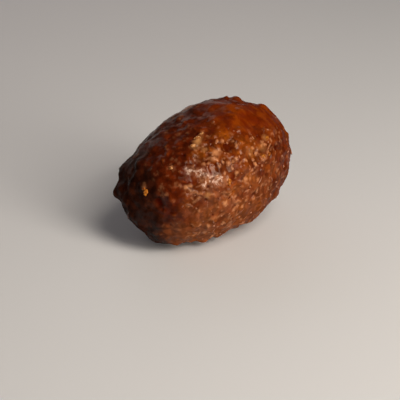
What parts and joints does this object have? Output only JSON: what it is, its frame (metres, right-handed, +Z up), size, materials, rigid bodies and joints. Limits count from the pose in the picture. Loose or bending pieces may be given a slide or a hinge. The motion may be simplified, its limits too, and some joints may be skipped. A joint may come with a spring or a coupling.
{
  "type": "meatball",
  "caption": "Large oval fried meatball with a dark, craggy, glossy crust, lying on its side on a small flat spot; one solid, without a plate",
  "frame": {"origin": "bottom centre of the bounding box, in the plane of the flat spot that the meatball rests on", "axes": "+X along the long axis, to the fuller and lighter end; +Y across, to the flank that browned darker; +Z up"},
  "size_m": [0.0846, 0.0574, 0.0544],
  "materials": {
    "fried_crust": "glossy, fatty browned crust"
  },
  "bodies": {
    "root": {"meatball": "fried_crust"}
  },
  "joints": []
}
